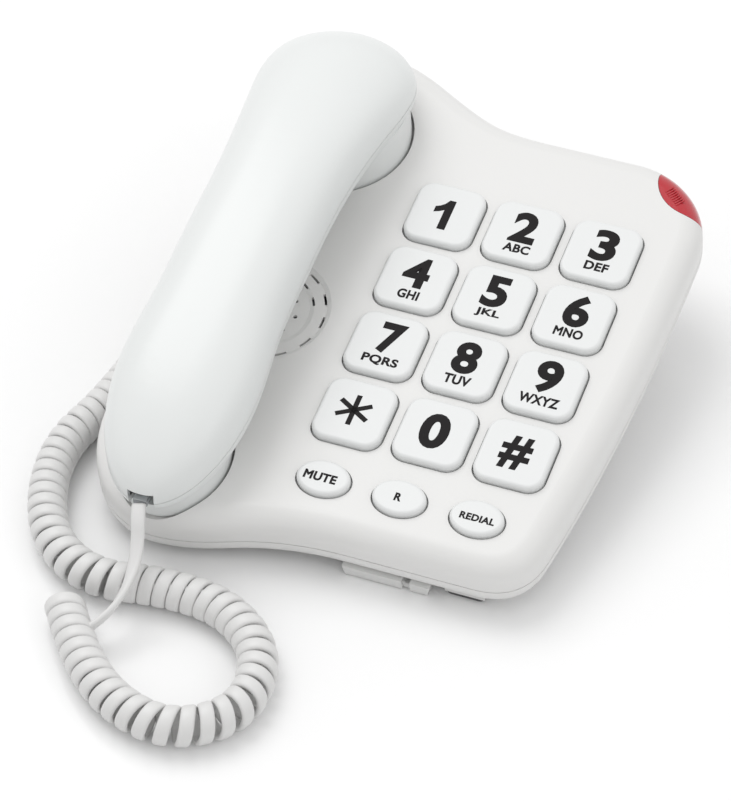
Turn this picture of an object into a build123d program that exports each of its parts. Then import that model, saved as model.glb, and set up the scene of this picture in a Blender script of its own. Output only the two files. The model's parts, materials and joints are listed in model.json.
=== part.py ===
"""Corded desk telephone with large keys: base, keypad, cradle, handset and curly handset cord.

Millimetres, +Z up. The origin is on the table, under the middle of the telephone.
The keypad face is a plane tilted about X. Most base and handset pieces are drawn in
face coordinates (x to the right, y up the face, z out of it, zero at the keypad's centre)
and are then put in place by FACE.
"""
import os
from math import cos, pi, radians, sin, tan

from build123d import *

os.makedirs("parts", exist_ok=True)

# ---------------------------------------------------------------- face and frame
FACE_TILT = 10.0          # slope of the keypad face
FACE_HEIGHT = 39.0        # height of the face above the table at the keypad's centre
KEYPAD_X = 27.0           # keypad centre from the telephone's middle
KEYPAD_Y = -3.5
FACE = Location((KEYPAD_X, KEYPAD_Y, FACE_HEIGHT), (FACE_TILT, 0, 0))

# ---------------------------------------------------------------- base casing
BASE_RIGHT = 58.5         # side walls, measured from the keypad's centre
BASE_LEFT = -112.0
BASE_FRONT = -92.2        # front wall beside the keypad
BASE_REAR = 92.0          # rear wall beside the keypad
CRADLE_FRONT = -104.2     # the cradle side is longer at both ends
CRADLE_REAR = 114.5
FRONT_TAPER = 9.2         # the right wall draws in by this much towards the front
REAR_CORNER = 31.5        # plan radius of the rear right corner
FRONT_CORNER = 17.5
CRADLE_CORNER = 43.0      # length of the cradle side's rounded corners
TOP_WALL = 2.5
TOP_SHOULDER = 8.0        # radius round the upper cover's edge
SEAM_DEPTH = 11.5         # parting line below the face
SEAM_GAP = 0.35
BOTTOM_WALL = 2.2
BOTTOM_DEPTH = 19.0       # underside of the casing below the face
BOTTOM_ROUND = 5.5
LIP_THICK = 1.2
LIP_RISE = 2.0
FIT = 0.2                 # clearance between pieces that locate each other

# ---------------------------------------------------------------- keypad
KEY_PITCH_X = 28.5
KEY_PITCH_Y = 30.0
KEY_WIDTH = 24.5
KEY_LENGTH = 25.8
KEY_CORNER = 5.6
KEY_STAND = 2.6           # height of a key above the face
KEY_EDGE = 1.3            # rounding of a key's top edge
KEY_WALL = 1.8
KEY_GAP = 0.6             # gap round a key in its hole
KEY_FLANGE = 1.2          # ledge that keeps the key under the cover
FLANGE_THICK = 1.0
FLANGE_PLAY = 0.3
KEY_STEM_R = 4.0
KEY_NAMES = (
    ("1", "2", "3"),
    ("4", "5", "6"),
    ("7", "8", "9"),
    ("star", "0", "hash"),
)
BUTTON_X = (-29.0, -2.4, 24.6)
BUTTON_Y = -73.3
BUTTON_NAMES = ("mute_button", "recall_button", "redial_button")
BUTTON_A = 9.2            # half width and half height of an oval button
BUTTON_B = 6.9
BUTTON_STAND = 2.2
KEY_TRAVEL = 1.4
DOME_CLEAR = 0.05         # air between a pressed key and its dome

# ---------------------------------------------------------------- board and keypad mat
MAT_TOP = -6.9
MAT_THICK = 0.9
DOME_RISE = 0.45
STEM_END = MAT_TOP + DOME_RISE + KEY_TRAVEL + DOME_CLEAR    # lower end of the key stems
BOARD_THICK = 1.6
BOARD_TOP = MAT_TOP - MAT_THICK
BOARD_INSET = 7.0
BOARD_LEFT = -45.5

# ---------------------------------------------------------------- handset
HANDSET_X = -79.5         # handset centreline from the keypad's centre
EAR_END = 105.5           # ends of the handset along the face
MOUTH_END = -107.5
EAR_WIDTH = 56.8
GRIP_WIDTH = 44.8
MOUTH_WIDTH = 49.0
SEAM_TOP = 24.0           # seam height over the face at the middle of the grip
SEAM_ARC = 423.0          # radius of the arched seam
CROWN = 16.8              # outer shell above the seam
GRIP_DEPTH = 9.0          # inner shell below the seam
SHELL_WALL = 2.4
EAR_ROUND = 30.0          # length of the rounded ear end
MOUTH_ROUND = 45.5        # length of the rounded mouth end
EAR_CUP_Y = 71.0
EAR_CUP_R = 27.6
MOUTH_CUP_Y = -79.0
MOUTH_CUP = (18.2, 23.0)  # half width and half length of the oval mouth cup
CUP_ROUND = 2.0
POCKET_DEPTH = 4.5
POCKET_GAP = 1.0
CUP_SEAT = 0.2            # air between a cup and its pocket's floor
HANDSET_SCREWS = ((HANDSET_X, 38.0), (HANDSET_X, -44.0))

# ---------------------------------------------------------------- switch hook
HOOK_X = HANDSET_X + 4.0
HOOK_Y = EAR_CUP_Y - 14.0
HOOK_R = 4.0
HOOK_TRAVEL = 4.0
HOOK_GAP = 0.25
SPRING_WIRE = 0.5
SPRING_R = 2.6
SPRING_TURNS = 5

# ---------------------------------------------------------------- ringer grille and lamp
GRILLE_X = -74.3
GRILLE_Y = -10.5
GRILLE_STEPS = ((23.0, 21.4, 0.9), (17.0, 15.4, 0.6))    # outer and inner radius and fall of each step
SLOT_COUNT = 13           # slots round the outer ring
SLOT_RING = 21.0
INNER_SLOTS = (1, 2, 3, 4, 5)    # places on the inner ring that have a slot too
INNER_RING = 16.8
SLOT_WIDTH = 0.85
SLOT_SPAN = 13.5          # degrees of ring that one slot covers
SOUND_HOLE_R = 0.75
SOUND_HOLE_RING = 11.1
SOUND_HOLE_COUNT = 10
RINGER_R = 18.0
RINGER_THICK = 7.0
LENS_R = 16.0             # inner edge of the leaf-shaped lamp lens
LENS_X = BASE_RIGHT - 6.2
LENS_Y = BASE_REAR - 4.9
LENS_DROP = 8.0
LENS_GAP = 0.15
LED_R = 2.5
LED_PLACE = (LENS_X - 11.6, LENS_Y - 13.6)

# ---------------------------------------------------------------- stand and feet
STAND_LEFT = -72.0
STAND_RIGHT = 14.0
STAND_FRONT = -58.0
STAND_REAR = 84.0
TONGUE_LEFT = -16.3       # narrow front of the stand, seen under the front edge
TONGUE_RIGHT = 12.7
TONGUE_FRONT = -86.2
STAND_WALL = 2.2
STAND_DRAFT = 12.0        # degrees that the narrow front widens upwards
CORD_GROOVE_X = 5.2
CORD_GROOVE = (2.8, 1.2)  # width and depth of the line cord groove
CORD_HOLE_R = 1.6
FOOT_PAD = 1.2
STAND_RAISE = 0.3         # the stand clears the table by this much
FOOT_SIZE = (14.0, 12.0)
FOOT_X = 24.5             # front right foot; the front left one mirrors it about the middle
FOOT_Y = -76.8

# ---------------------------------------------------------------- sockets and cord
MODULAR_PLUG = (7.6, 6.4, 12.0)     # handset plug: width, height, length
LINE_OPENING = (9.8, 6.8)
PLUG_CLEAR = 0.15
SOCKET_WALL = 1.6
NOTCH = (9.2, 4.6)        # cord notch in the end of the handset
SOCKET_DEPTH = 10.5       # handset socket from the mouth end
PLUG_RISE = 0.9           # its middle over the seam
CORD_WIDTH = 4.8
TAIL_D = 4.2              # tube that stands for the uncoiled flat cord
COIL_D = 13.5
RECESS_DEEP = 12.0        # recess in the left wall, open below, that the handset cord bends down in
RECESS_WIDE = 16.0
RECESS_WALL = 1.8
JACK_Y = 16.0             # handset socket, at the back of the recess
JACK_Z = -13.0
RECESS_TOP = JACK_Z + 5.5
JACK_FACE = BASE_LEFT + RECESS_DEEP + RECESS_WALL + FIT
PLUG_STUB = 6.0           # length of flat cord moulded into a plug's back
LINE_FACE = BASE_REAR - BOTTOM_ROUND - FIT
LINE_X = -20.0            # line socket in the rear wall
SWITCH_X = 14.0           # ringer volume switch in the rear wall
SWITCH_Z = -7.5
SWITCH_SLOT = (9.0, 3.4)
SWITCH_KNOB = (4.0, 2.8)
SWITCH_PROUD = 0.4
SCREW_R = 1.5
SCREW_HEAD_R = 2.9
COVER_SCREWS = (
    (BASE_LEFT + 12.0, -48.0), (BASE_LEFT + 12.0, 44.0), (-48.5, BASE_FRONT + 20.2),
    (BASE_RIGHT - 18.0, BASE_FRONT + 21.2), (BASE_RIGHT - 12.0, BASE_REAR - 31.5),
)
BOARD_SCREWS = (
    (-41.0, BASE_FRONT + 32.2), (BASE_RIGHT - 17.5, BASE_FRONT + 34.2),
    (-41.0, BASE_REAR - 20.0), (BASE_RIGHT - 27.5, BASE_REAR - 15.0),
)

# Points that the curly stretch turns at: it lies on the table in a loop before the base.
COIL_POINTS = (
    (-68.0, -140.5), (-56.0, -158.0), (-37.0, -175.0), (-14.0, -180.5), (4.5, -165.0), (2.0, -139.5),
    (-17.0, -123.5), (-41.0, -122.0), (-64.0, -127.0), (-84.0, -116.0), (-95.5, -93.5), (-99.0, -70.0),
    (-92.5, -48.0), (-90.5, -27.0),
)
# From the handset's plug, over the far strand and down into the first turn.
HANDSET_TAIL_POINTS = (
    (-52.5, -112.2, 31.25), (-51.2, -116.4, 29.6), (-49.6, -120.6, 23.6), (-48.2, -127.5, 18.6),
    (-48.2, -136.5, 15.0), (-51.3, -145.5, 10.5), (-57.0, -151.0, 7.5),
)
# From the last turn up to the socket in the base's left wall.
BASE_TAIL_POINTS = (
    (-90.5, -27.0, 6.75), (-90.2, -18.0, 6.8), (-89.4, -9.5, 8.0), (-88.4, -1.5, 11.5),
    (-87.6, 6.0, 16.5), (-86.6, 12.0, 22.5), (-83.2, 14.5, 28.2), (-77.1, 14.5, 28.95),
)


def face_box(x0, x1, y0, y1, z0, z1):
    """A box between two corners."""
    return Pos((x0 + x1) / 2, (y0 + y1) / 2, (z0 + z1) / 2) * Box(x1 - x0, y1 - y0, z1 - z0)


def post(x, y, r, z0, z1):
    """A round post or hole along z."""
    return Pos(x, y, (z0 + z1) / 2) * Cylinder(r, z1 - z0)


def quarter(start, end, start_along_x):
    """A rounded corner from one point to another, level at one end and upright at the other."""
    k = 0.5523
    dx = (end[0] - start[0]) * k
    dy = (end[1] - start[1]) * k
    if start_along_x:
        return Bezier(start, (start[0] + dx, start[1]), (end[0], end[1] - dy), end)
    return Bezier(start, (start[0], start[1] + dy), (end[0] - dx, end[1]), end)


def base_outline(inset=0.0):
    """The casing's plan outline, drawn in from the outside wall by inset."""
    right = BASE_RIGHT - inset
    left = BASE_LEFT + inset
    front = BASE_FRONT + inset
    rear = BASE_REAR - inset
    lobe_front = CRADLE_FRONT + inset
    lobe_rear = CRADLE_REAR - inset
    taper_end = (right - FRONT_TAPER, BASE_FRONT + FRONT_CORNER)
    front_right = (right - FRONT_TAPER - FRONT_CORNER - 2.5, front)
    front_left = (-14.0, front)
    rear_left = (-4.0, rear)
    rear_right = (BASE_RIGHT - REAR_CORNER, rear)
    sweep = HANDSET_X + 34.0
    swept = (sweep - 2, lobe_front + 7.5)
    edges = [
        Spline((right, BASE_REAR - REAR_CORNER), taper_end, tangents=((0, -1), (-0.16, -1))),
        Spline(taper_end, front_right, tangents=((-0.16, -1), (-1, 0))),
        Line(front_right, front_left),
        Spline(front_left, swept, (HANDSET_X, lobe_front), tangents=((-1, 0), (-1, 0))),
        quarter((HANDSET_X, lobe_front), (left, CRADLE_FRONT + CRADLE_CORNER), True),
        Line((left, CRADLE_FRONT + CRADLE_CORNER), (left, CRADLE_REAR - CRADLE_CORNER)),
        quarter((left, CRADLE_REAR - CRADLE_CORNER), (HANDSET_X, lobe_rear), False),
        Spline(
            (HANDSET_X, lobe_rear), (sweep, lobe_rear - 11.1), (sweep + 13.5, lobe_rear - 18.0), rear_left,
            tangents=((1, 0), (1, 0)),
        ),
        Line(rear_left, rear_right),
        quarter(rear_right, (right, BASE_REAR - REAR_CORNER), True),
    ]
    return make_face(edges)


def casing_block(inset, low, high, round_top=0.0, round_bottom=0.0):
    """The casing's outline as a block between two heights, with rounded rims."""
    block = extrude(Pos(0, 0, low) * base_outline(inset), high - low)
    if round_top:
        block = fillet(block.faces().sort_by(Axis.Z)[-1].edges(), round_top)
    if round_bottom:
        block = fillet(block.faces().sort_by(Axis.Z)[0].edges(), round_bottom)
    return block


def key_centres():
    """Name and place of every key."""
    places = []
    for row, names in enumerate(KEY_NAMES):
        for column, name in enumerate(names):
            places.append(("key_" + name, (column - 1) * KEY_PITCH_X, (1.5 - row) * KEY_PITCH_Y))
    return places


def key_plan(grow=0.0):
    """The plan of a key, grown outwards."""
    return RectangleRounded(KEY_WIDTH + 2 * grow, KEY_LENGTH + 2 * grow, KEY_CORNER + grow)


def button_plan(grow=0.0):
    """The plan of an oval button, grown outwards."""
    return Ellipse(BUTTON_A + grow, BUTTON_B + grow)


def key_cap(plan, stand):
    """A hollow cap with a ledge under the cover and a stem down to the mat."""
    ledge_top = -TOP_WALL - FLANGE_PLAY
    ledge_low = ledge_top - FLANGE_THICK
    cap = extrude(Pos(0, 0, ledge_low) * plan(), stand - ledge_low)
    cap = fillet(cap.faces().sort_by(Axis.Z)[-1].edges(), KEY_EDGE)
    cap += extrude(Pos(0, 0, ledge_low) * plan(KEY_FLANGE), FLANGE_THICK)
    cap -= extrude(Pos(0, 0, ledge_low) * plan(-KEY_WALL), stand - KEY_WALL - ledge_low)
    cap += post(0, 0, KEY_STEM_R, STEM_END, stand - KEY_WALL)
    return cap


def ring_slot(ring):
    """One slot of a ring, where the ring crosses the x axis."""
    half = radians(SLOT_SPAN / 2)
    reach = ring * 1.4
    band = Cylinder(ring + SLOT_WIDTH / 2, 8) - Cylinder(ring - SLOT_WIDTH / 2, 8)
    corners = ((0, 0), (reach * cos(half), -reach * sin(half)), (reach * cos(half), reach * sin(half)))
    return band & extrude(make_face(Polyline(*corners, close=True)), 4, both=True)


def grille_cuts():
    """Two shallow round steps, rings of slots and a ring of sound holes."""
    cuts = []
    depth = 0.0
    for outer, inner, fall in GRILLE_STEPS:
        cuts.append(Pos(GRILLE_X, GRILLE_Y, -depth - fall / 2) * Cone(inner, outer, fall))
        depth += fall
        cuts.append(post(GRILLE_X, GRILLE_Y, inner, -depth, 1))
    pitch = 360 / SLOT_COUNT
    for index in range(SLOT_COUNT):
        cuts.append(Pos(GRILLE_X, GRILLE_Y, 0) * Rot(0, 0, pitch * index) * ring_slot(SLOT_RING))
    for index in INNER_SLOTS:
        cuts.append(Pos(GRILLE_X, GRILLE_Y, 0) * Rot(0, 0, pitch * index) * ring_slot(INNER_RING))
    for index in range(SOUND_HOLE_COUNT):
        angle = 2 * pi * index / SOUND_HOLE_COUNT
        x = GRILLE_X + SOUND_HOLE_RING * cos(angle)
        cuts.append(post(x, GRILLE_Y + SOUND_HOLE_RING * sin(angle), SOUND_HOLE_R, -4, 1))
    cuts.append(post(GRILLE_X, GRILLE_Y, SOUND_HOLE_R, -4, 1))
    return cuts


def lens_column(grow=0.0):
    """The round column that cuts the lamp lens out of the casing's corner."""
    return post(LENS_X, LENS_Y, LENS_R + grow, -LENS_DROP - grow, 5)


def recess_box(grow=0.0):
    """The recess in the left wall for the handset plug, grown outwards by its walls."""
    half = RECESS_WIDE / 2 + grow
    return face_box(
        BASE_LEFT - 5, BASE_LEFT + RECESS_DEEP + grow, JACK_Y - half, JACK_Y + half,
        -BOTTOM_DEPTH - 5, RECESS_TOP + grow,
    )


def socket_cut():
    """Opening at the back of the recess for the handset plug."""
    half = MODULAR_PLUG[0] / 2 + PLUG_CLEAR
    high = MODULAR_PLUG[1] / 2 + PLUG_CLEAR
    return face_box(BASE_LEFT, JACK_FACE + 1, JACK_Y - half, JACK_Y + half, JACK_Z - high, JACK_Z + high)


def line_cut():
    """Opening in the rear wall for the line socket."""
    half = LINE_OPENING[0] / 2
    high = LINE_OPENING[1] / 2
    return face_box(LINE_X - half, LINE_X + half, BASE_REAR - 5, BASE_REAR + 5, JACK_Z - high, JACK_Z + high)


def switch_cut():
    """Slot in the rear wall for the ringer switch's slider."""
    half = SWITCH_SLOT[0] / 2
    high = SWITCH_SLOT[1] / 2
    return face_box(
        SWITCH_X - half, SWITCH_X + half, BASE_REAR - 5, BASE_REAR + 5, SWITCH_Z - high, SWITCH_Z + high,
    )


def pocket(y, plan, grow):
    """A pocket's plan block from its floor up, grown sideways."""
    low = -POCKET_DEPTH - (TOP_WALL if grow > POCKET_GAP else 0)
    return extrude(Pos(HANDSET_X, y, low) * plan(grow), 5 - low)


def ear_plan(grow=0.0):
    return Circle(EAR_CUP_R + grow)


def mouth_plan(grow=0.0):
    return Ellipse(MOUTH_CUP[0] + grow, MOUTH_CUP[1] + grow)


def base_top_cover():
    cover = casing_block(0, -SEAM_DEPTH, 0, round_top=TOP_SHOULDER)
    hollow = casing_block(TOP_WALL, -SEAM_DEPTH - 1, -TOP_WALL, round_top=TOP_SHOULDER - TOP_WALL)
    body = cover - hollow
    for y, plan in ((EAR_CUP_Y, ear_plan), (MOUTH_CUP_Y, mouth_plan)):
        body += pocket(y, plan, POCKET_GAP + TOP_WALL) & cover
        body -= pocket(y, plan, POCKET_GAP)
    body += recess_box(RECESS_WALL) & cover
    body -= recess_box()
    for x, y in COVER_SCREWS:
        body += post(x, y, 3.4, -SEAM_DEPTH, -TOP_WALL)
        body -= post(x, y, SCREW_R, -SEAM_DEPTH - 1, -TOP_WALL - 1.5)
    body -= post(HOOK_X, HOOK_Y, HOOK_R + HOOK_GAP, -20, 5)
    for _, x, y in key_centres():
        body -= extrude(Pos(x, y, -5) * key_plan(KEY_GAP), 10)
    for x in BUTTON_X:
        body -= extrude(Pos(x, BUTTON_Y, -5) * button_plan(KEY_GAP), 10)
    body -= grille_cuts()
    body -= lens_column(LENS_GAP)
    return body - socket_cut() - line_cut() - switch_cut()


def foot_block(x):
    """A short square post from the casing down to a rubber foot, in table coordinates."""
    width, length = FOOT_SIZE
    block = Pos(KEYPAD_X + x, KEYPAD_Y + FOOT_Y, 20 + FOOT_PAD) * Box(width, length, 40)
    block -= FACE * Pos(0, 0, 50 - BOTTOM_DEPTH + BOTTOM_WALL) * Box(400, 400, 100)
    slot = Pos(KEYPAD_X + x - 2, KEYPAD_Y + FOOT_Y - length / 2, FOOT_PAD + 3.0) * Box(width - 4, 2.4, 0.8)
    return block - slot


def base_bottom_cover():
    top = -SEAM_DEPTH - SEAM_GAP
    tray = casing_block(0, -BOTTOM_DEPTH, top, round_bottom=BOTTOM_ROUND)
    floor = -BOTTOM_DEPTH + BOTTOM_WALL
    inner = casing_block(BOTTOM_WALL, floor, top + 5, round_bottom=BOTTOM_ROUND - BOTTOM_WALL)
    body = tray - inner
    lip = casing_block(1.0, -SEAM_DEPTH - 3, top)
    lip += casing_block(TOP_WALL + FIT, top - 0.5, LIP_RISE - SEAM_DEPTH)
    lip -= casing_block(TOP_WALL + FIT + LIP_THICK, -SEAM_DEPTH - 4, -SEAM_DEPTH + LIP_RISE + 1)
    body += lip - recess_box(RECESS_WALL + FIT)
    body += recess_box(RECESS_WALL) & tray
    body -= recess_box()
    for x, y in COVER_SCREWS:
        body += post(x, y, 4.4, -BOTTOM_DEPTH + 0.5, -SEAM_DEPTH - FIT)
    for x, y in BOARD_SCREWS:
        body += post(x, y, 3.0, -BOTTOM_DEPTH + 0.5, BOARD_TOP - BOARD_THICK)
    body = FACE * body
    for side in (FOOT_X, -2 * KEYPAD_X - FOOT_X):
        body += foot_block(side)
    for x, y in COVER_SCREWS:
        body -= FACE * post(x, y, SCREW_R + 0.2, -BOTTOM_DEPTH - 1, -SEAM_DEPTH + 1)
        body -= FACE * post(x, y, SCREW_HEAD_R + 0.2, -BOTTOM_DEPTH - 40, -BOTTOM_DEPTH + 3)
    for x, y in BOARD_SCREWS:
        body -= FACE * post(x, y, 1.1, -BOTTOM_DEPTH + 3, 0)
    return body - FACE * socket_cut() - FACE * line_cut()


def tongue(inset, low):
    """The stand's narrow front, from low up, drawn in by inset and widening upwards."""
    width = TONGUE_RIGHT - TONGUE_LEFT - 2 * inset
    length = STAND_FRONT + 12 - TONGUE_FRONT - 2 * inset
    x = (TONGUE_LEFT + TONGUE_RIGHT) / 2
    y = TONGUE_FRONT + inset + length / 2
    return extrude(Pos(x, y, low) * Rectangle(width, length), 30, taper=-STAND_DRAFT)


def desk_stand():
    """A wedge under the casing that sets its slope, with a narrow front and a cord groove."""
    wall = STAND_WALL
    outer = face_box(STAND_LEFT, STAND_RIGHT, STAND_FRONT, STAND_REAR, 0, 60)
    outer += tongue(0, 0)
    inner = face_box(STAND_LEFT + wall, STAND_RIGHT - wall, STAND_FRONT + wall, STAND_REAR - wall, 3, 61)
    inner += tongue(wall, 3)
    width, depth = CORD_GROOVE
    groove = Pos(CORD_GROOVE_X, TONGUE_FRONT, 0) * Box(width, 2 * depth, 30)
    groove += Pos(CORD_GROOVE_X, TONGUE_FRONT, 3.4) * Rot(90, 0, 0) * Cylinder(CORD_HOLE_R, 12)
    stand = Pos(KEYPAD_X, KEYPAD_Y, STAND_RAISE) * (outer - inner - groove)
    stand -= FACE * Pos(0, 0, 50 - BOTTOM_DEPTH) * Box(400, 400, 100)
    width, length = FOOT_SIZE
    for x in (STAND_LEFT + 10, STAND_RIGHT - 10):
        stand -= Pos(KEYPAD_X + x, KEYPAD_Y + STAND_REAR - 10, 0) * Box(width, length, 2 * FOOT_PAD)
    return stand


def rubber_feet():
    """Two pads under the front posts and two let into the rear of the stand."""
    places = [(FOOT_X, FOOT_Y), (-2 * KEYPAD_X - FOOT_X, FOOT_Y)]
    places += [(STAND_LEFT + 10, STAND_REAR - 10), (STAND_RIGHT - 10, STAND_REAR - 10)]
    feet = []
    for x, y in places:
        pad = Box(FOOT_SIZE[0] - 0.6, FOOT_SIZE[1] - 0.6, FOOT_PAD)
        feet.append(Pos(KEYPAD_X + x, KEYPAD_Y + y, FOOT_PAD / 2) * fillet(pad.edges().filter_by(Axis.Z), 2))
    return Compound(feet)


def cover_screws():
    """Self-tapping screws up through the bottom cover."""
    screws = []
    for x, y in COVER_SCREWS:
        head_low = -BOTTOM_DEPTH + 3 - 2.0
        screw = post(x, y, SCREW_HEAD_R, head_low, head_low + 2.0)
        screw += post(x, y, SCREW_R - 0.05, head_low + 1, -TOP_WALL - 2.5)
        screw -= Pos(x, y, head_low) * Box(3.6, 0.8, 1.6)
        screw -= Pos(x, y, head_low) * Box(0.8, 3.6, 1.6)
        screws.append(FACE * screw)
    return Compound(screws)


def board_plan(inset):
    """The circuit board's plan: the casing's outline drawn in, and cut off before the cradle."""
    plan = base_outline(inset) & Pos(BOARD_LEFT + 100, 0) * Rectangle(200, 400)
    plan -= Pos(LINE_X, LINE_FACE) * Rectangle(LINE_OPENING[0] + 2 * SOCKET_WALL + 1, 31)
    for x, y in COVER_SCREWS:
        plan -= Pos(x, y) * Circle(4.8)
    return plan


def keypad_mat():
    """A rubber sheet over the board with a contact dome under every key."""
    mat = extrude(Pos(0, 0, MAT_TOP - MAT_THICK) * board_plan(BOARD_INSET + 2), MAT_THICK)
    for _, x, y in key_centres():
        mat += post(x, y, 4.6, MAT_TOP - 0.2, MAT_TOP + DOME_RISE)
    for x in BUTTON_X:
        mat += post(x, BUTTON_Y, 4.6, MAT_TOP - 0.2, MAT_TOP + DOME_RISE)
    for x, y in BOARD_SCREWS:
        mat -= post(x, y, 4.0, -12, 0)
    mat -= post(LED_PLACE[0], LED_PLACE[1], LED_R + 1.2, -12, 0)
    return mat - face_box(SWITCH_X - 8, SWITCH_X + 8, LINE_FACE - 7.5, LINE_FACE, -12, 0)


def main_board():
    board = extrude(Pos(0, 0, BOARD_TOP - BOARD_THICK) * board_plan(BOARD_INSET), BOARD_THICK)
    for x, y in BOARD_SCREWS:
        board -= post(x, y, 1.5, -15, 0)
    return board


def board_screws():
    screws = []
    for x, y in BOARD_SCREWS:
        screw = post(x, y, 2.6, BOARD_TOP, BOARD_TOP + 1.4)
        screw += post(x, y, 1.05, BOARD_TOP - 5.5, BOARD_TOP + 0.5)
        screws.append(screw)
    return Compound(screws)


def board_parts():
    """Dialler chip, ringer chip, coils and capacitors on the board's underside."""
    under = BOARD_TOP - BOARD_THICK
    parts = [
        face_box(-12, 8, -4, 5, under - 3.2, under),
        face_box(20, 30, 20, 28, under - 3.0, under),
        face_box(-30, -22, 40, 48, under - 4.0, under),
    ]
    for x, y in ((-30, -20), (-20, -20), (30, -10), (12, 45), (22, 45)):
        parts.append(post(x, y, 3.1, under - 6.0, under))
    return Compound(parts)


def indicator_lens():
    """The leaf-shaped red lens that wraps over the rear right corner."""
    shell = casing_block(0, -SEAM_DEPTH, 0, round_top=TOP_SHOULDER)
    shell -= casing_block(TOP_WALL, -SEAM_DEPTH - 1, -TOP_WALL, round_top=TOP_SHOULDER - TOP_WALL)
    return shell & lens_column()


def indicator_led():
    x, y = LED_PLACE
    led = post(x, y, LED_R, BOARD_TOP, BOARD_TOP + 1.0)
    led += Pos(x, y, BOARD_TOP + 1.0) * Sphere(LED_R) & face_box(x - 5, x + 5, y - 5, y + 5, BOARD_TOP, 0)
    led += post(x, y, LED_R + 0.5, BOARD_TOP, BOARD_TOP + 0.8)
    return led


def ringer_speaker():
    """Loudspeaker behind the grille: a flanged basket and a magnet."""
    top = -TOP_WALL - 0.3
    speaker = post(GRILLE_X, GRILLE_Y, RINGER_R + 2, top - 1.6, top)
    speaker += post(GRILLE_X, GRILLE_Y, RINGER_R, top - RINGER_THICK + 2, top)
    speaker += post(GRILLE_X, GRILLE_Y, RINGER_R * 0.55, top - RINGER_THICK - 3, top)
    return speaker


def ballast_plate():
    """Steel plate that keeps the light casing on the table."""
    low = -BOTTOM_DEPTH + BOTTOM_WALL
    return face_box(-92, -56, -44, 3, low, low + 2.5)


def hook_plunger():
    """Round plunger under the ear cup, with a collar under the cover."""
    top = -POCKET_DEPTH
    under = -POCKET_DEPTH - TOP_WALL
    plunger = post(HOOK_X, HOOK_Y, HOOK_R, under - HOOK_TRAVEL - 2.0, top)
    plunger = fillet(plunger.faces().sort_by(Axis.Z)[-1].edges(), 0.8)
    plunger += post(HOOK_X, HOOK_Y, HOOK_R + 1.2, under - HOOK_TRAVEL - 1.6, under - HOOK_TRAVEL - 0.4)
    return plunger


def hook_switch():
    """Microswitch beside the plunger, on a small pedestal."""
    low = -BOTTOM_DEPTH + BOTTOM_WALL
    under = -POCKET_DEPTH - TOP_WALL
    body = face_box(HOOK_X + 6, HOOK_X + 12.5, HOOK_Y - 10, HOOK_Y + 10, low, under - 0.5)
    lever = face_box(HOOK_X - 3, HOOK_X + 6.2, HOOK_Y + 5.6, HOOK_Y + 7.6, low + 2.0, low + 2.5)
    return body + lever


def hook_spring():
    """Compression spring between the bottom cover and the plunger."""
    low = -BOTTOM_DEPTH + BOTTOM_WALL
    top = -POCKET_DEPTH - TOP_WALL - HOOK_TRAVEL - 2.0
    height = top - low - SPRING_WIRE
    path = Helix(pitch=height / SPRING_TURNS, height=height, radius=SPRING_R)
    section = Plane(origin=path @ 0, z_dir=path % 0) * Circle(SPRING_WIRE / 2)
    return Pos(HOOK_X, HOOK_Y, low + SPRING_WIRE / 2) * sweep(section, path=path, is_frenet=True)


def handset_jack():
    """Four-way modular socket at the back of the recess."""
    width, height, length = MODULAR_PLUG
    side = width / 2 + SOCKET_WALL
    body = face_box(
        JACK_FACE, JACK_FACE + length + 2, JACK_Y - side, JACK_Y + side,
        -BOTTOM_DEPTH + BOTTOM_WALL, JACK_Z + height / 2 + SOCKET_WALL,
    )
    side = width / 2 + PLUG_CLEAR
    tall = height / 2 + PLUG_CLEAR
    return body - face_box(
        JACK_FACE - 1, JACK_FACE + length - 1, JACK_Y - side, JACK_Y + side, JACK_Z - tall, JACK_Z + tall,
    )


def line_jack():
    """Six-way modular socket behind the rear wall."""
    width, height = LINE_OPENING
    side = width / 2 + SOCKET_WALL
    body = face_box(
        LINE_X - side, LINE_X + side, LINE_FACE - 15, LINE_FACE,
        -BOTTOM_DEPTH + BOTTOM_WALL, JACK_Z + height / 2 + SOCKET_WALL,
    )
    return body - face_box(
        LINE_X - width / 2, LINE_X + width / 2, LINE_FACE - 12.5, LINE_FACE + 1,
        JACK_Z - height / 2, JACK_Z + height / 2,
    )


def ringer_switch():
    """Slide switch body on the board's edge."""
    return face_box(SWITCH_X - 7, SWITCH_X + 7, LINE_FACE - 6.5, LINE_FACE - 1.2, BOARD_TOP, BOARD_TOP + 4.2)


def ringer_slider():
    """The slider that pokes through the rear wall."""
    width, height = SWITCH_KNOB
    return face_box(
        SWITCH_X - width / 2, SWITCH_X + width / 2, LINE_FACE - 1.0, BASE_REAR + SWITCH_PROUD,
        SWITCH_Z - height / 2, SWITCH_Z + height / 2,
    )


# ---------------------------------------------------------------- handset pieces
def seam_height(y):
    """Height of the arched seam over the face."""
    return SEAM_TOP - y * y / (2 * SEAM_ARC)


def blend_step(t):
    t = min(max(t, 0.0), 1.0)
    return t * t * (3 - 2 * t)


def half_width(y):
    """Half the handset's width at y, before its ends round off."""
    ear = blend_step((y - 18) / 70)
    mouth = blend_step((-y - 28) / 34)
    return (GRIP_WIDTH + (EAR_WIDTH - GRIP_WIDTH) * ear + (MOUTH_WIDTH - GRIP_WIDTH) * mouth) / 2


def end_share(y):
    """Share of the full section that is left at y, falling along an ellipse at both ends."""
    if y > EAR_END - EAR_ROUND:
        t = (y - EAR_END + EAR_ROUND) / EAR_ROUND
    elif y < MOUTH_END + MOUTH_ROUND:
        t = (MOUTH_END + MOUTH_ROUND - y) / MOUTH_ROUND
    else:
        t = 0.0
    return (1 - t * t) ** 0.5


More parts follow.
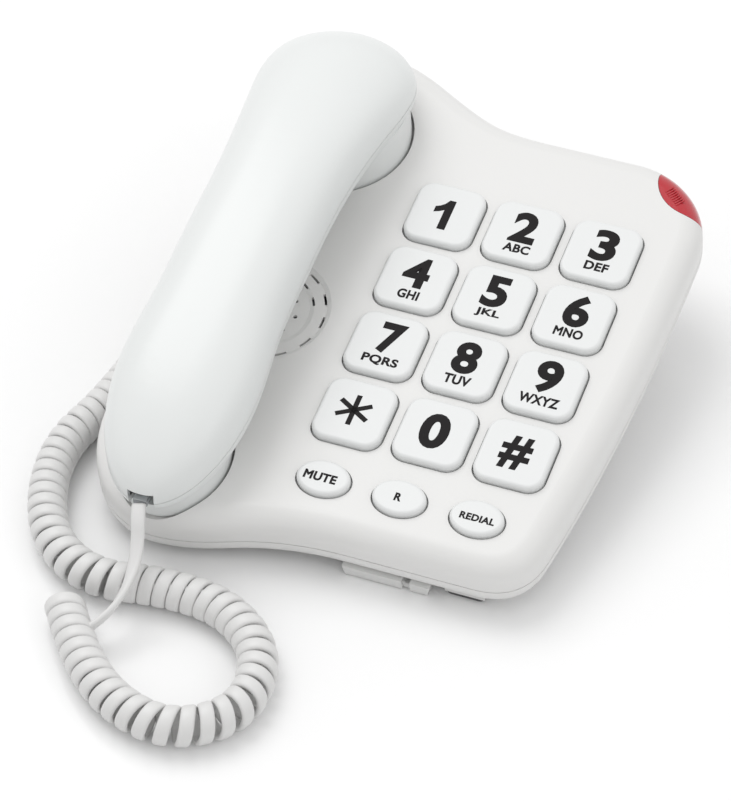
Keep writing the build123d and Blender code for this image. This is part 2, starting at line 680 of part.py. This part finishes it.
def handset_section(y, inset, rise, drop):
    """One closed cross-section of the handset: a soft rounded crown over a shallow belly."""
    share = end_share(y)
    ear = blend_step((y - 40) / 45)
    a = max(half_width(y) * share - inset, 0.8)
    top = max(rise * share ** (0.75 + 0.45 * ear) - inset, 0.6)
    low = max(drop * share ** 0.75 - inset, 0.5)
    points = []
    steps = 20
    for index in range(steps):
        angle = 2 * pi * index / steps
        c = cos(angle)
        s = sin(angle)
        power = 2 / (2.6 - 0.7 * ear) if s >= 0 else 2 / 3.2
        x = a * abs(c) ** power * (1 if c >= 0 else -1)
        z = (top if s >= 0 else -low) * abs(s) ** power
        points.append((x, z))
    plane = Plane(origin=(HANDSET_X, y, seam_height(y)), x_dir=(1, 0, 0), z_dir=(0, -1, 0))
    return plane * make_face(Spline(*points, periodic=True))


def handset_stations(inset):
    """Stations along the handset, closer together where the ends round off."""
    ear_y = EAR_END - EAR_ROUND
    mouth_y = MOUTH_END + MOUTH_ROUND
    ear_len = EAR_ROUND - inset
    mouth_len = MOUTH_ROUND - inset
    stations = []
    for degrees in (86, 76, 62, 44, 24):
        stations.append(mouth_y - mouth_len * sin(radians(degrees)))
    stations += [mouth_y, -38.0, -12.0, 16.0, 40.0, 60.0, ear_y]
    for degrees in (24, 44, 62, 76, 86):
        stations.append(ear_y + ear_len * sin(radians(degrees)))
    return stations


def handset_body(inset, rise, drop):
    return loft([handset_section(y, inset, rise, drop) for y in handset_stations(inset)])


def over_seam(lift=0.0):
    """Everything above the seam surface, raised by lift."""
    reach = 130.0
    middle = SEAM_TOP + lift
    ends = seam_height(reach) + lift
    profile = make_face([
        ThreePointArc((-reach, ends), (0, middle), (reach, ends)),
        Line((reach, ends), (reach, 90)),
        Line((reach, 90), (-reach, 90)),
        Line((-reach, 90), (-reach, ends)),
    ])
    plane = Plane(origin=(HANDSET_X, 0, 0), x_dir=(0, 1, 0), z_dir=(1, 0, 0))
    return extrude(plane * profile, 50, both=True)


def notch_cut():
    """Cord notch in the mouth end of the handset."""
    width, height = NOTCH
    y = MOUTH_END
    seam = seam_height(y)
    half = width / 2
    return face_box(HANDSET_X - half, HANDSET_X + half, y - 6, y + SOCKET_DEPTH, seam - 3.4, seam + height)


def socket_block(grow):
    """The handset socket's outer block."""
    width, height, length = MODULAR_PLUG
    y = MOUTH_END + SOCKET_DEPTH
    z = seam_height(MOUTH_END) + PLUG_RISE
    side = width / 2 + SOCKET_WALL + grow
    tall = height / 2 + SOCKET_WALL + grow
    return face_box(HANDSET_X - side, HANDSET_X + side, y - grow, y + length + 1 + grow, z - tall, z + tall)


def handset_outer_shell():
    shell = handset_body(0, CROWN, GRIP_DEPTH) & over_seam(SEAM_GAP)
    shell -= handset_body(SHELL_WALL, CROWN, GRIP_DEPTH)
    for x, y in HANDSET_SCREWS:
        boss = post(x, y, 3.2, seam_height(y) + 1, seam_height(y) + CROWN - 1.5)
        boss -= post(x, y, 1.2, 0, seam_height(y) + 10)
        shell += boss
    return shell - notch_cut()


def cup(y, plan, inset):
    """A cup of the inner shell, from its seat in the base up to the seam."""
    low = -POCKET_DEPTH + CUP_SEAT + inset
    block = extrude(Pos(HANDSET_X, y, low) * plan(-inset), seam_height(y) - 2.5 - low)
    if inset:
        return block
    return fillet(block.faces().sort_by(Axis.Z)[0].edges(), CUP_ROUND)


def sound_holes(y, rings):
    """Round holes on rings about a cup's centre."""
    holes = post(HANDSET_X, y, 0.9, -6, 1)
    for ring, count in rings:
        for index in range(count):
            angle = 2 * pi * index / count
            holes += post(HANDSET_X + ring * cos(angle), y + ring * sin(angle), 0.9, -6, 1)
    return holes


def handset_inner_shell():
    body = handset_body(0, CROWN, GRIP_DEPTH) - over_seam(0)
    cups = ((EAR_CUP_Y, ear_plan), (MOUTH_CUP_Y, mouth_plan))
    for y, plan in cups:
        body += cup(y, plan, 0) - over_seam(0)
    body -= handset_body(SHELL_WALL, CROWN, GRIP_DEPTH)
    for y, plan in cups:
        body -= cup(y, plan, SHELL_WALL)
    for x, y in HANDSET_SCREWS:
        body += post(x, y, 4.2, seam_height(y) - GRIP_DEPTH + 1, seam_height(y))
        body -= post(x, y, 1.6, -5, 40)
        body -= post(x, y, 2.8, -5, seam_height(y) - GRIP_DEPTH + 3.4)
    body -= sound_holes(EAR_CUP_Y, ((4.5, 6), (9.0, 12)))
    body -= sound_holes(MOUTH_CUP_Y, ((4.0, 6),))
    return body - notch_cut() - socket_block(FIT)


def handset_screws():
    screws = []
    for x, y in HANDSET_SCREWS:
        low = seam_height(y) - GRIP_DEPTH + 1.6
        screw = post(x, y, 2.6, low, low + 1.8)
        screw += post(x, y, 1.15, low + 1, seam_height(y) + 9)
        screw -= Pos(x, y, low) * Box(3.4, 0.7, 1.4)
        screws.append(screw)
    return Compound(screws)


def receiver():
    """Earpiece capsule on the floor of the ear cup."""
    low = -POCKET_DEPTH + CUP_SEAT + SHELL_WALL + 1.5
    capsule = post(HANDSET_X, EAR_CUP_Y, 17.0, low, low + 5.5)
    capsule += post(HANDSET_X, EAR_CUP_Y, 8.5, low, low + 9.0)
    return capsule


def receiver_ring():
    """Foam ring that seals the capsule to the shell."""
    low = -POCKET_DEPTH + CUP_SEAT + SHELL_WALL
    ring = post(HANDSET_X, EAR_CUP_Y, 17.0, low, low + 1.5)
    return ring - post(HANDSET_X, EAR_CUP_Y, 13.0, low - 1, low + 3)


def microphone():
    low = -POCKET_DEPTH + CUP_SEAT + SHELL_WALL + 1.5
    return post(HANDSET_X, MOUTH_CUP_Y, 4.85, low, low + 6.5)


def microphone_boot():
    """Rubber boot round the microphone."""
    low = -POCKET_DEPTH + CUP_SEAT + SHELL_WALL
    boot = post(HANDSET_X, MOUTH_CUP_Y, 7.2, low, low + 6.5)
    boot -= post(HANDSET_X, MOUTH_CUP_Y, 4.85, low + 1.5, low + 9)
    return boot - post(HANDSET_X, MOUTH_CUP_Y, 3.2, low - 1, low + 3)


def handset_weight():
    """Steel bar that gives the handset its heft."""
    low = SEAM_TOP - GRIP_DEPTH + SHELL_WALL + 0.3
    return face_box(HANDSET_X - 8, HANDSET_X + 8, -36, 30, low, low + 6.0)


def handset_socket():
    """Four-way modular socket inside the mouth end."""
    width, height, length = MODULAR_PLUG
    y = MOUTH_END + SOCKET_DEPTH
    z = seam_height(MOUTH_END) + PLUG_RISE
    side = width / 2 + PLUG_CLEAR
    tall = height / 2 + PLUG_CLEAR
    return socket_block(0) - face_box(
        HANDSET_X - side, HANDSET_X + side, y - 1, y + length - 1, z - tall, z + tall,
    )


def handset_plug():
    """Modular plug in the handset's end, with the first bit of cord behind it."""
    width, height, length = MODULAR_PLUG
    half = width / 2
    z = seam_height(MOUTH_END) + PLUG_RISE
    back = MOUTH_END + SOCKET_DEPTH - 1.2
    plug = face_box(HANDSET_X - half, HANDSET_X + half, back, back + length, z - height / 2, z + height / 2)
    half = CORD_WIDTH / 2
    return plug + face_box(HANDSET_X - half, HANDSET_X + half, MOUTH_END - 0.1, back + 0.1, z - 1.3, z + 1.3)


def base_plug():
    """Modular plug in the recess of the base's left wall."""
    width, height, length = MODULAR_PLUG
    x1 = JACK_FACE + length - 1.2
    x0 = x1 - length
    plug = face_box(x0, x1, JACK_Y - width / 2, JACK_Y + width / 2, JACK_Z - height / 2, JACK_Z + height / 2)
    half = CORD_WIDTH / 2
    stub = face_box(JACK_FACE - PLUG_STUB, x0 + 0.1, JACK_Y - half, JACK_Y + half, JACK_Z - 1.3, JACK_Z + 1.3)
    return plug + stub


# ---------------------------------------------------------------- handset cord
def cord_tube(name, points, diameter):
    """A tube along straight runs joined by the largest arcs that the runs allow."""
    vectors = [Vector(*point) for point in points]
    radii = []
    for before, at, after in zip(vectors, vectors[1:], vectors[2:]):
        turn = radians((at - before).get_angle(after - at))
        shorter = min((at - before).length, (after - at).length)
        radii.append(0.45 * shorter / tan(turn / 2))
    path = FilletPolyline(*vectors, radius=radii)
    section = Plane(origin=path @ 0, z_dir=path % 0) * Circle(diameter / 2)
    tube = sweep(section, path=path)
    expected = pi * diameter ** 2 / 4 * path.length
    print(name, "length", round(path.length, 1), "volume share", round(tube.volume / expected, 4))
    print(name, "radii", [round(r, 1) for r in radii])
    return tube


def cord_pieces():
    coil_points = [(x, y, COIL_D / 2) for x, y in COIL_POINTS]
    return {
        "cord_coil": cord_tube("cord_coil", coil_points, COIL_D),
        "cord_tail_handset": cord_tube("cord_tail_handset", HANDSET_TAIL_POINTS, TAIL_D),
        "cord_tail_base": cord_tube("cord_tail_base", BASE_TAIL_POINTS, TAIL_D),
    }


def write(name, shape):
    shape.label = name
    export_step(shape, "parts/" + name + ".step")


IN_FACE_COORDINATES = {
    "base_top_cover": base_top_cover,
    "keypad_mat": keypad_mat,
    "main_board": main_board,
    "board_screws": board_screws,
    "board_parts": board_parts,
    "indicator_lens": indicator_lens,
    "indicator_led": indicator_led,
    "ringer_speaker": ringer_speaker,
    "ballast_plate": ballast_plate,
    "hook_plunger": hook_plunger,
    "hook_switch": hook_switch,
    "hook_spring": hook_spring,
    "handset_jack": handset_jack,
    "line_jack": line_jack,
    "ringer_switch": ringer_switch,
    "ringer_slider": ringer_slider,
    "handset_outer_shell": handset_outer_shell,
    "handset_inner_shell": handset_inner_shell,
    "handset_screws": handset_screws,
    "receiver": receiver,
    "receiver_ring": receiver_ring,
    "microphone": microphone,
    "microphone_boot": microphone_boot,
    "handset_weight": handset_weight,
    "handset_socket": handset_socket,
    "handset_plug": handset_plug,
    "base_plug": base_plug,
}
IN_TABLE_COORDINATES = {
    "base_bottom_cover": base_bottom_cover,
    "desk_stand": desk_stand,
    "rubber_feet": rubber_feet,
    "cover_screws": cover_screws,
}

for node, make in IN_FACE_COORDINATES.items():
    write(node, FACE * make())
for node, make in IN_TABLE_COORDINATES.items():
    write(node, make())
for node, x, y in key_centres():
    write(node, FACE * Pos(x, y, 0) * key_cap(key_plan, KEY_STAND))
for node, x in zip(BUTTON_NAMES, BUTTON_X):
    write(node, FACE * Pos(x, BUTTON_Y, 0) * key_cap(button_plan, BUTTON_STAND))
for node, shape in cord_pieces().items():
    write(node, shape)
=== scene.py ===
"""Corded desk telephone with large keys: finishes, legends and the curly cord round the fixed frame.

Metres, +Z up, the origin on the table under the telephone's middle. The keypad face is a
tilted plane, and places on it are given in millimetres across, up and out of the face.
"""

import json
from math import cos, pi, radians, sin

import bmesh
import bpy
from mathutils import Matrix, Vector


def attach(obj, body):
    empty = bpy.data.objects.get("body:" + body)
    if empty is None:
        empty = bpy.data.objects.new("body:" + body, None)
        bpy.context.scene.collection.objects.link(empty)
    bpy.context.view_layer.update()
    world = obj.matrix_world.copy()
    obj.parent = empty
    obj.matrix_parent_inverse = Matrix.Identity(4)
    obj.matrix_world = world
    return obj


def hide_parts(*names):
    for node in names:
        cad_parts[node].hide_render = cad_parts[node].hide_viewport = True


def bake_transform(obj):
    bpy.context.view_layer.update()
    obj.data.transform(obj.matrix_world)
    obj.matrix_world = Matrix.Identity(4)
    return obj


MM = 0.001
UP = Vector((0, 0, 1))
FACE_TILT = radians(10)
FACE = Matrix.Translation((0.027, -0.0035, 0.039)) @ Matrix.Rotation(FACE_TILT, 4, "X")

# Routes of the handset cord, in millimetres. The coil lies on the table, and a flat tail
# leaves each end.
COIL_Z = 6.75
COIL_ROUTE = [(x, y, COIL_Z) for x, y in (
    (-68.0, -140.5), (-56.0, -158.0), (-37.0, -175.0), (-14.0, -180.5), (4.5, -165.0), (2.0, -139.5),
    (-17.0, -123.5), (-41.0, -122.0), (-64.0, -127.0), (-84.0, -116.0), (-95.5, -93.5), (-99.0, -70.0),
    (-92.5, -48.0), (-90.5, -27.0),
)]
HANDSET_TAIL_ROUTE = (
    (-52.5, -112.2, 31.25), (-51.2, -116.4, 29.6), (-49.6, -120.6, 23.6), (-48.2, -127.5, 18.6),
    (-48.2, -136.5, 15.0), (-51.3, -145.5, 10.5), (-57.0, -151.0, 7.5),
)
BASE_TAIL_ROUTE = (
    (-90.5, -27.0, 6.75), (-90.2, -18.0, 6.8), (-89.4, -9.5, 8.0), (-88.4, -1.5, 11.5),
    (-87.6, 6.0, 16.5), (-86.6, 12.0, 22.5), (-83.2, 14.5, 28.2), (-77.1, 14.5, 28.95),
)
CORD_WIDE = 4.9
CORD_THICK = 2.2
COIL_R = COIL_Z - CORD_THICK / 2 - 0.05     # coil's middle to the middle of the cord
COIL_PITCH = 5.05                           # advance of one turn where the coil is straight
COIL_OPENING = 0.0045                       # share that a turn opens by per unit of bend
COIL_START = radians(-60)
COIL_STEPS = 1200                           # points that the coil's middle line is worked out at
TURN_STEPS = 28                             # rings of the cord's mesh in one turn
BEND_REACH = 12                             # points to each side that a bend is measured over
TAIL_STEPS = 60

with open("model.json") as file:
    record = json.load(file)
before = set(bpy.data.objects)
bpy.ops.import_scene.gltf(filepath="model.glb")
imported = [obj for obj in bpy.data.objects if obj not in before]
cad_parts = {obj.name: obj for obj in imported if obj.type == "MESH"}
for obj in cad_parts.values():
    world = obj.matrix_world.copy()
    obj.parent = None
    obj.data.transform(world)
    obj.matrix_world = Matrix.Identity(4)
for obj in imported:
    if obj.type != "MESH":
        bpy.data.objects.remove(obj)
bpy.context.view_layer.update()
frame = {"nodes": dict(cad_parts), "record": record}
nodes = frame["nodes"]


def camera():
    """The view from the front right, well above the keypad."""
    data = bpy.data.cameras.new("camera")
    data.lens = 175.3
    data.sensor_width = 36.0
    data.clip_end = 20.0
    data.dof.use_dof = False
    item = bpy.data.objects.new("camera", data)
    bpy.context.collection.objects.link(item)
    place = Vector((0.3342, -0.9334, 0.9254))
    look = Vector((-0.0003, -0.0410, 0.0324)) - place
    item.location = place
    item.rotation_euler = look.to_track_quat("-Z", "Y").to_euler()
    bpy.context.scene.camera = item


camera()


# ---------------------------------------------------------------- finishes
def material(name, colour, rough, coat=0.0, metal=0.0, through=0.0, shine=0.5):
    """A plain principled finish; its constant values are set on the shader itself."""
    made = bpy.data.materials.new(name)
    made.use_nodes = True
    shader = made.node_tree.nodes["Principled BSDF"]
    shader.inputs["Base Color"].default_value = (*colour, 1)
    shader.inputs["Roughness"].default_value = rough
    shader.inputs["Metallic"].default_value = metal
    shader.inputs["Coat Weight"].default_value = coat
    shader.inputs["Coat Roughness"].default_value = 0.12
    shader.inputs["Transmission Weight"].default_value = through
    shader.inputs["IOR"].default_value = 1.48
    shader.inputs["Specular IOR Level"].default_value = shine
    return made


def grain(made, scale, strength, distance=0.0001):
    """A fine moulded texture on the surface, laid out in object coordinates."""
    tree = made.node_tree
    shader = tree.nodes["Principled BSDF"]
    place = tree.nodes.new("ShaderNodeTexCoord")
    noise = tree.nodes.new("ShaderNodeTexNoise")
    noise.inputs["Scale"].default_value = scale
    noise.inputs["Detail"].default_value = 2.0
    bump = tree.nodes.new("ShaderNodeBump")
    bump.inputs["Strength"].default_value = strength
    bump.inputs["Distance"].default_value = distance
    tree.links.new(place.outputs["Object"], noise.inputs["Vector"])
    tree.links.new(noise.outputs["Fac"], bump.inputs["Height"])
    tree.links.new(bump.outputs["Normal"], shader.inputs["Normal"])
    return made


FINISHES = {
    "casing_white": grain(material("satin white casing", (0.755, 0.752, 0.742), 0.36), 2600, 0.10),
    "handset_white": grain(material("satin white handset", (0.765, 0.782, 0.775), 0.30), 2600, 0.06),
    "key_white": grain(material("satin white keys", (0.76, 0.77, 0.768), 0.36), 3000, 0.06),
    "button_white": grain(material("satin white buttons", (0.76, 0.77, 0.768), 0.34), 3000, 0.06),
    "stand_white": grain(material("matt white stand", (0.72, 0.72, 0.71), 0.5), 2200, 0.15),
    "foot_rubber": grain(material("grey foot rubber", (0.10, 0.10, 0.105), 0.8), 1800, 0.3),
    "screw_steel": material("zinc screws", (0.52, 0.52, 0.54), 0.35, metal=1.0),
    "mat_rubber": material("silicone keypad mat", (0.55, 0.56, 0.57), 0.6),
    "board_green": material("green circuit board", (0.02, 0.11, 0.035), 0.45),
    "component_black": material("black components", (0.012, 0.012, 0.013), 0.5),
    "lens_red": material("red lamp lens", (0.52, 0.012, 0.024), 0.18, coat=0.5, through=0.1),
    "led_clear": material("clear lamp epoxy", (0.85, 0.85, 0.85), 0.1, through=0.7),
    "speaker_grey": material("grey speaker steel", (0.13, 0.13, 0.14), 0.4, metal=0.8),
    "ballast_steel": material("plain steel", (0.35, 0.35, 0.36), 0.45, metal=1.0),
    "socket_black": material("black socket nylon", (0.02, 0.02, 0.022), 0.45),
    "plug_clear": material("clear plug", (0.75, 0.78, 0.8), 0.12, through=0.6),
    "cord_white": grain(material("soft white cord", (0.72, 0.717, 0.71), 0.42), 2400, 0.08),
    "foam_dark": grain(material("dark foam", (0.02, 0.02, 0.02), 0.95), 1500, 0.8),
    "boot_rubber": material("black boot rubber", (0.015, 0.015, 0.015), 0.75),
    "plunger_white": material("white nylon plunger", (0.72, 0.72, 0.72), 0.45),
    "slider_white": material("black nylon slider", (0.03, 0.03, 0.03), 0.45),
}
for part in frame["record"]["subparts"]:
    if part["node"] in nodes:
        item = nodes[part["node"]]
        finish = FINISHES[part["material_slot"]]
        if item.material_slots:
            for held in item.material_slots:
                held.link = "OBJECT"
                held.material = finish
        else:
            item.data.materials.append(finish)
            item.material_slots[0].link = "OBJECT"
            item.material_slots[0].material = finish


# ---------------------------------------------------------------- the handset cord
def route(points):
    """Close points along the smooth line that a route's control points make."""
    data = bpy.data.curves.new("route", "CURVE")
    data.dimensions = "3D"
    data.resolution_u = 24
    line = data.splines.new("NURBS")
    line.points.add(len(points) - 1)
    for made, point in zip(line.points, points):
        made.co = (*(Vector(point) * MM), 1)
    line.order_u = 3
    line.use_endpoint_u = True
    holder = bpy.data.objects.new("route", data)
    bpy.context.collection.objects.link(holder)
    mesh = bpy.data.meshes.new_from_object(holder.evaluated_get(bpy.context.evaluated_depsgraph_get()))
    places = [vertex.co.copy() for vertex in mesh.vertices]
    bpy.data.objects.remove(holder)
    bpy.data.curves.remove(data)
    bpy.data.meshes.remove(mesh)
    return places


def spaced(places, count):
    """The same line as evenly spaced points."""
    reach = [0.0]
    for a, b in zip(places, places[1:]):
        reach.append(reach[-1] + (b - a).length)
    out = []
    index = 0
    for step in range(count):
        wanted = reach[-1] * step / (count - 1)
        while index < len(places) - 2 and reach[index + 1] < wanted:
            index += 1
        share = (wanted - reach[index]) / (reach[index + 1] - reach[index])
        out.append(places[index].lerp(places[index + 1], min(max(share, 0.0), 1.0)))
    return out, reach[-1]


def headings(places):
    """The direction of travel at every point of a line."""
    out = []
    for index in range(len(places)):
        ahead = places[min(index + 1, len(places) - 1)]
        behind = places[max(index - 1, 0)]
        out.append((ahead - behind).normalized())
    return out


def ribbon(name, places, wides, wide, thick):
    """A flat cord with rounded edges swept along places, its broad side along wides."""
    profile = []
    flat = (wide - thick) / 2
    for side, start in ((1, -90), (-1, 90)):
        for step in range(5):
            angle = radians(start + 45 * step)
            profile.append((side * flat + cos(angle) * thick / 2, sin(angle) * thick / 2))
    made = bmesh.new()
    rings = []
    for place, ahead, across in zip(places, headings(places), wides):
        across = (across - ahead * across.dot(ahead)).normalized()
        out = ahead.cross(across)
        rings.append([made.verts.new(place + across * a + out * b) for a, b in profile])
    size = len(profile)
    for first, second in zip(rings, rings[1:]):
        for index in range(size):
            turn = (index + 1) % size
            made.faces.new((first[index], first[turn], second[turn], second[index]))
    made.faces.new(list(reversed(rings[0])))
    made.faces.new(rings[-1])
    bmesh.ops.recalc_face_normals(made, faces=made.faces[:])
    for face in made.faces:
        face.smooth = len(face.verts) == 4
    return piece(name, made, FINISHES["cord_white"])


def piece(name, made, finish):
    """An object from a finished bmesh."""
    mesh = bpy.data.meshes.new(name)
    made.to_mesh(mesh)
    made.free()
    mesh.materials.append(finish)
    item = bpy.data.objects.new(name, mesh)
    bpy.context.collection.objects.link(item)
    return item


def coil():
    """The curly part: a flat cord wound left-handed round the route, opening out in tight bends."""
    line, long = spaced(route(COIL_ROUTE), COIL_STEPS)
    aheads = headings(line)
    step = long / (len(line) - 1)
    phases = [0.0]
    for index in range(1, len(line)):
        low = max(index - BEND_REACH, 0)
        high = min(index + BEND_REACH, len(line) - 1)
        bend = aheads[low].angle(aheads[high]) / (step * (high - low))
        pitch = COIL_PITCH * MM * (1 + COIL_OPENING * bend)
        phases.append(phases[-1] - 2 * pi * step / pitch)
    turns = -phases[-1] / (2 * pi)
    places = []
    wides = []
    total = int(turns * TURN_STEPS)
    index = 0
    for number in range(total + 1):
        phase = phases[-1] * number / total
        while index < len(phases) - 2 and phases[index + 1] > phase:
            index += 1
        share = (phase - phases[index]) / (phases[index + 1] - phases[index])
        middle = line[index].lerp(line[index + 1], share)
        ahead = aheads[index]
        side = UP.cross(ahead).normalized()
        angle = phase + COIL_START
        places.append(middle + (side * cos(angle) + UP * sin(angle)) * COIL_R * MM)
        wides.append(ahead)
    return ribbon("curly_cord", places, wides, CORD_WIDE * MM, CORD_THICK * MM), places


def tail(name, points, start_wide, end_wide):
    """A flat uncoiled end of the cord, turning from one broad direction to another."""
    places, _ = spaced(route(points), TAIL_STEPS)
    wides = []
    for index in range(len(places)):
        share = index / (len(places) - 1)
        soft = share * share * (3 - 2 * share)
        wides.append((Vector(start_wide).lerp(Vector(end_wide), soft)).normalized())
    return ribbon(name, places, wides, CORD_WIDE * MM, CORD_THICK * MM), places


curl, curl_line = coil()
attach(curl, "base")
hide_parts("cord_coil")
upper, upper_line = tail("handset_cord_tail", HANDSET_TAIL_ROUTE, (1, 0, 0), (0.2, -0.4, 1))
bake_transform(upper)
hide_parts("cord_tail_handset")
lower, lower_line = tail("base_cord_tail", BASE_TAIL_ROUTE, (1, 0, 0.3), (0, 1, 0))
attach(lower, "base")
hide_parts("cord_tail_base")

# ---------------------------------------------------------------- legends
INK = material("black printed legends", (0.010, 0.0085, 0.009), 0.5, shine=0.15)
INK_THICK = 0.2         # thickness that the letters' rounded edges are flattened to
INK_RISE = 0.02         # height of the ink over its key
KEY_TOP = 2.6
BUTTON_TOP = 2.2
# How much each kind of text is thickened round its strokes, as a share of its line height.
DIGIT_WEIGHT = 0.042
HASH_WEIGHT = 0.034
LETTER_WEIGHT = 0.04
WORD_WEIGHT = 0.045
STAR_LONG = 12.7
STAR_WIDE = 1.8
# Text, its weight, and the box on the face that it fills: left, right, low, high.
LEGENDS = {
    "key_2": [
        ("2", DIGIT_WEIGHT, (-4.3, 4.9, 40.2, 53.9)),
        ("ABC", LETTER_WEIGHT, (-4.5, 5.0, 35.6, 39.4)),
    ],
    "key_3": [
        ("3", DIGIT_WEIGHT, (24.5, 33.4, 40.7, 54.6)),
        ("DEF", LETTER_WEIGHT, (24.7, 33.2, 36.1, 39.9)),
    ],
    "key_4": [
        ("4", DIGIT_WEIGHT, (-33.3, -23.9, 10.5, 23.9)),
        ("GHI", LETTER_WEIGHT, (-32.2, -24.6, 5.3, 9.3)),
    ],
    "key_5": [
        ("5", DIGIT_WEIGHT, (-4.4, 4.4, 10.4, 24.2)),
        ("JKL", LETTER_WEIGHT, (-4.3, 4.4, 5.6, 9.5)),
    ],
    "key_6": [
        ("6", DIGIT_WEIGHT, (24.5, 33.6, 10.5, 24.7)),
        ("MNO", LETTER_WEIGHT, (23.8, 34.0, 5.8, 9.8)),
    ],
    "key_7": [
        ("7", DIGIT_WEIGHT, (-31.6, -22.9, -19.3, -6.0)),
        ("PQRS", LETTER_WEIGHT, (-34.2, -21.4, -24.7, -20.5)),
    ],
    "key_8": [
        ("8", DIGIT_WEIGHT, (-4.7, 4.4, -19.6, -5.8)),
        ("TUV", LETTER_WEIGHT, (-4.9, 4.5, -24.5, -20.4)),
    ],
    "key_9": [
        ("9", DIGIT_WEIGHT, (24.1, 33.3, -19.2, -5.1)),
        ("WXYZ", LETTER_WEIGHT, (21.6, 35.7, -24.4, -20.3)),
    ],
    "key_0": [("0", DIGIT_WEIGHT, (-5.1, 4.9, -52.3, -37.6))],
    "key_hash": [("#", HASH_WEIGHT, (23.1, 33.7, -52.2, -38.4))],
    "mute_button": [("MUTE", WORD_WEIGHT, (-35.6, -24.2, -75.6, -72.0))],
    "recall_button": [("R", WORD_WEIGHT, (-3.8, -1.3, -75.4, -72.1))],
    "redial_button": [("REDIAL", WORD_WEIGHT, (19.0, 31.0, -75.4, -72.6))],
}


def glyphs(text, weight):
    """The outline of a text as a flat mesh, with its weight added round the strokes."""
    data = bpy.data.curves.new("text", "FONT")
    data.body = text
    data.bevel_depth = weight
    data.bevel_resolution = 1
    data.resolution_u = 5
    data.space_character = 1.0 + weight * 1.5
    holder = bpy.data.objects.new("text", data)
    bpy.context.collection.objects.link(holder)
    mesh = bpy.data.meshes.new_from_object(holder.evaluated_get(bpy.context.evaluated_depsgraph_get()))
    bpy.data.objects.remove(holder)
    bpy.data.curves.remove(data)
    return mesh


def stamp(made, text, weight, area, height):
    """Adds a text to a legend, fitted to its area of the face."""
    mesh = glyphs(text, weight)
    xs = [v.co.x for v in mesh.vertices]
    ys = [v.co.y for v in mesh.vertices]
    left, right, low, high = area
    across = (right - left) * MM / (max(xs) - min(xs))
    up = (high - low) * MM / (max(ys) - min(ys))
    to_corner = Matrix.Translation((-min(xs), -min(ys), 0))
    place = Matrix.Translation((left * MM, low * MM, height * MM))
    mesh.transform(FACE @ place @ Matrix.Diagonal((across, up, INK_THICK * MM, 1)) @ to_corner)
    made.from_mesh(mesh)
    bpy.data.meshes.remove(mesh)


def star(made):
    """Six plain arms on the star key: three bars across its middle."""
    middle = FACE @ Matrix.Translation((-28.8 * MM, -44.8 * MM, (KEY_TOP + INK_RISE) * MM))
    size = Matrix.Diagonal((STAR_LONG * MM, STAR_WIDE * MM, INK_RISE * MM, 1))
    for degrees in (90, 30, -30):
        turn = Matrix.Rotation(radians(degrees), 4, "Z")
        bmesh.ops.create_cube(made, size=1.0, matrix=middle @ turn @ size)


def one(made):
    """The digit on the first key: a stem with a flag."""
    outline = (
        (-29.1, 37.8), (-26.2, 37.8), (-26.2, 51.1), (-28.5, 51.1), (-29.6, 49.2), (-31.0, 48.0),
        (-32.6, 47.3), (-32.6, 44.7), (-30.7, 45.4), (-29.1, 46.4),
    )
    height = (KEY_TOP + 2 * INK_RISE) * MM
    made.faces.new([made.verts.new(FACE @ Vector((x * MM, y * MM, height))) for x, y in outline])


def legend(body, marks):
    """Everything printed on one key or button, as a piece that moves with it."""
    made = bmesh.new()
    height = (BUTTON_TOP if body.endswith("button") else KEY_TOP) + INK_RISE
    for text, weight, area in marks:
        stamp(made, text, weight, area, height)
    if body == "key_star":
        star(made)
    if body == "key_1":
        one(made)
    item = piece(body + "_legend", made, INK)
    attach(item, body)


for body, marks in LEGENDS.items():
    legend(body, marks)
legend("key_star", ())
legend("key_1", ())


# ---------------------------------------------------------------- lamp lens
RIB_COUNT = 8
RIB_LONG = 3.6
RIB_THICK = 0.42
RIB_TURN = radians(55)
RIB_FIRST = Vector((41.7, 80.4, 0.0))
RIB_LAST = Vector((47.0, 75.8, 0.0))


def ribs():
    """Fine ridges moulded across the middle of the lamp lens."""
    made = bmesh.new()
    turn = Matrix.Rotation(RIB_TURN, 4, "Z")
    size = Matrix.Diagonal((RIB_LONG * MM, RIB_THICK * MM, RIB_THICK * MM, 1))
    for number in range(RIB_COUNT):
        middle = RIB_FIRST.lerp(RIB_LAST, number / (RIB_COUNT - 1))
        place = FACE @ Matrix.Translation(middle * MM)
        bmesh.ops.create_cube(made, size=1.0, matrix=place @ turn @ size)
    item = piece("indicator_lens_ribs", made, FINISHES["lens_red"])
    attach(item, "base")


ribs()


# ---------------------------------------------------------------- table and light
def floor():
    """A wide plain table top, just under the feet."""
    made = bmesh.new()
    bmesh.ops.create_grid(made, x_segments=1, y_segments=1, size=6.0)
    item = piece("table", made, material("white table", (0.93, 0.93, 0.93), 0.12))
    item.location.z = -0.0002


def light(name, place, aim, size, power):
    """A soft rectangular lamp that points at aim."""
    data = bpy.data.lights.new(name, "AREA")
    data.shape = "RECTANGLE"
    data.size = size[0]
    data.size_y = size[1]
    data.energy = power
    item = bpy.data.objects.new(name, data)
    bpy.context.collection.objects.link(item)
    item.location = place
    item.rotation_euler = (Vector(aim) - Vector(place)).to_track_quat("-Z", "Y").to_euler()


floor()
light("key_light", (-0.9, 0.5, 1.9), (0, 0, 0), (1.4, 1.4), 15.5)
light("fill_light", (1.5, -0.6, 1.3), (0, 0, 0), (1.2, 1.2), 3)
world = bpy.data.worlds.new("studio")
bpy.context.scene.world = world
world.use_nodes = True
world.node_tree.nodes["Background"].inputs["Color"].default_value = (1, 1, 1, 1)
world.node_tree.nodes["Background"].inputs["Strength"].default_value = 0.82
bpy.context.scene.view_settings.view_transform = "Standard"
